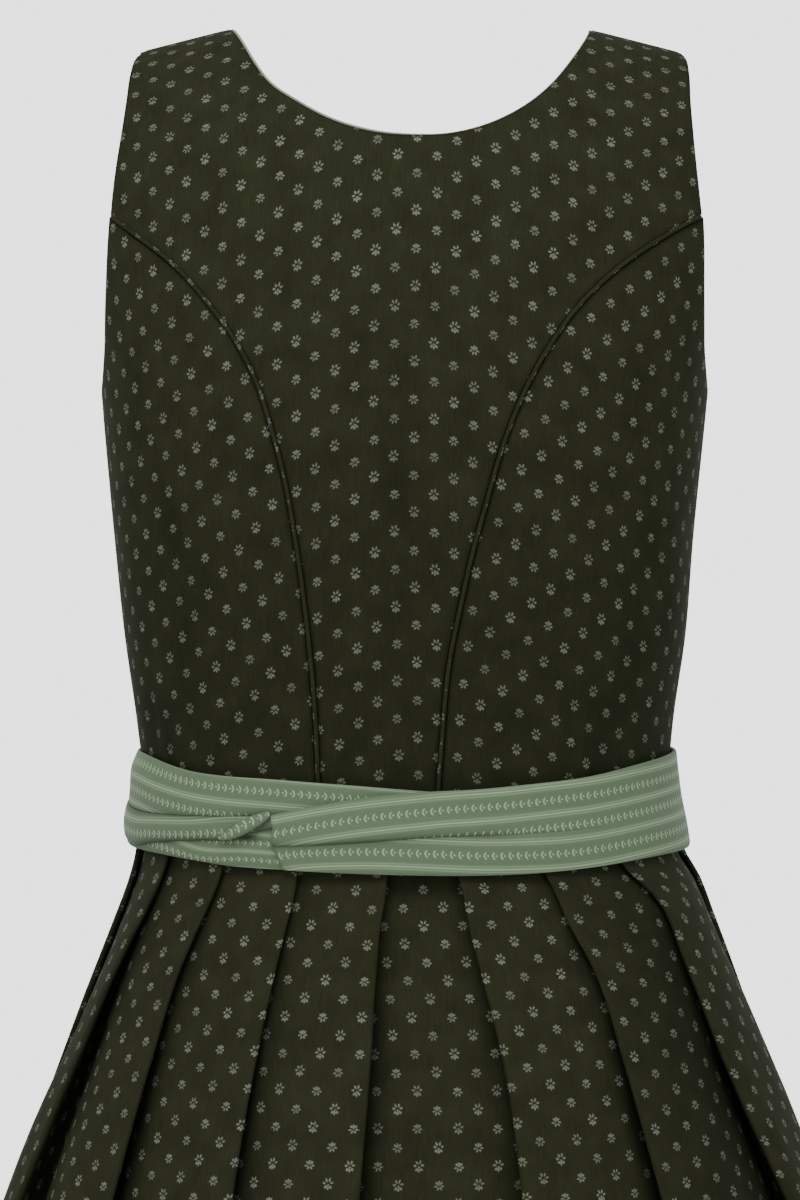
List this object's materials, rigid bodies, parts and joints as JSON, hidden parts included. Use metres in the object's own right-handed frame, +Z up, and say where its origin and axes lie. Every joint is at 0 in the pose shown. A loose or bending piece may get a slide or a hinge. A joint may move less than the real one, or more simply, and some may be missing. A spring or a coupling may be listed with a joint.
{
  "type": "dirndl dress",
  "caption": "Sleeveless dirndl dress filled out as worn: printed cotton bodice with corded princess seams, folded woven sash, knife-pleated midi skirt and a buttoned front.",
  "frame": {"origin": "midway between the two shoulder straps, at the height where the neck points of the straps bear on the wearer's shoulders", "axes": "+Z up along the dress, the wearer's back faces -Y, the wearer's left is -X"},
  "size_m": [0.643, 0.5655, 1.0564],
  "materials": {
    "bodice_cotton": "matt printed cotton, dark olive with small pale flower sprigs",
    "skirt_cotton": "matt printed cotton, dark olive with small pale flower sprigs, pressed knife pleats",
    "bias_piping": "corded piping in the same cotton cut on the bias",
    "woven_sash": "matt jacquard weave, sage green with pale rows of leaves and fine stripes",
    "pale_facing": "matt pale cotton neck facing",
    "horn_button": "brown horn-look button, dull polish"
  },
  "bodies": {
    "root": {"bodice_back_centre": "bodice_cotton", "bodice_back_side_left": "bodice_cotton", "bodice_back_side_right": "bodice_cotton", "bodice_front_left": "bodice_cotton", "bodice_front_right": "bodice_cotton", "bodice_front_side_left": "bodice_cotton", "bodice_front_side_right": "bodice_cotton", "button_1": "horn_button", "button_2": "horn_button", "button_3": "horn_button", "button_4": "horn_button", "button_5": "horn_button", "button_6": "horn_button", "button_7": "horn_button", "front_placket": "bodice_cotton", "neck_facing": "pale_facing", "piping_back_left": "bias_piping", "piping_back_right": "bias_piping", "piping_front_left": "bias_piping", "piping_front_right": "bias_piping", "sash_band": "woven_sash", "sash_tuck": "woven_sash", "skirt_back": "skirt_cotton", "skirt_front_left": "skirt_cotton", "skirt_front_right": "skirt_cotton"}
  },
  "joints": []
}
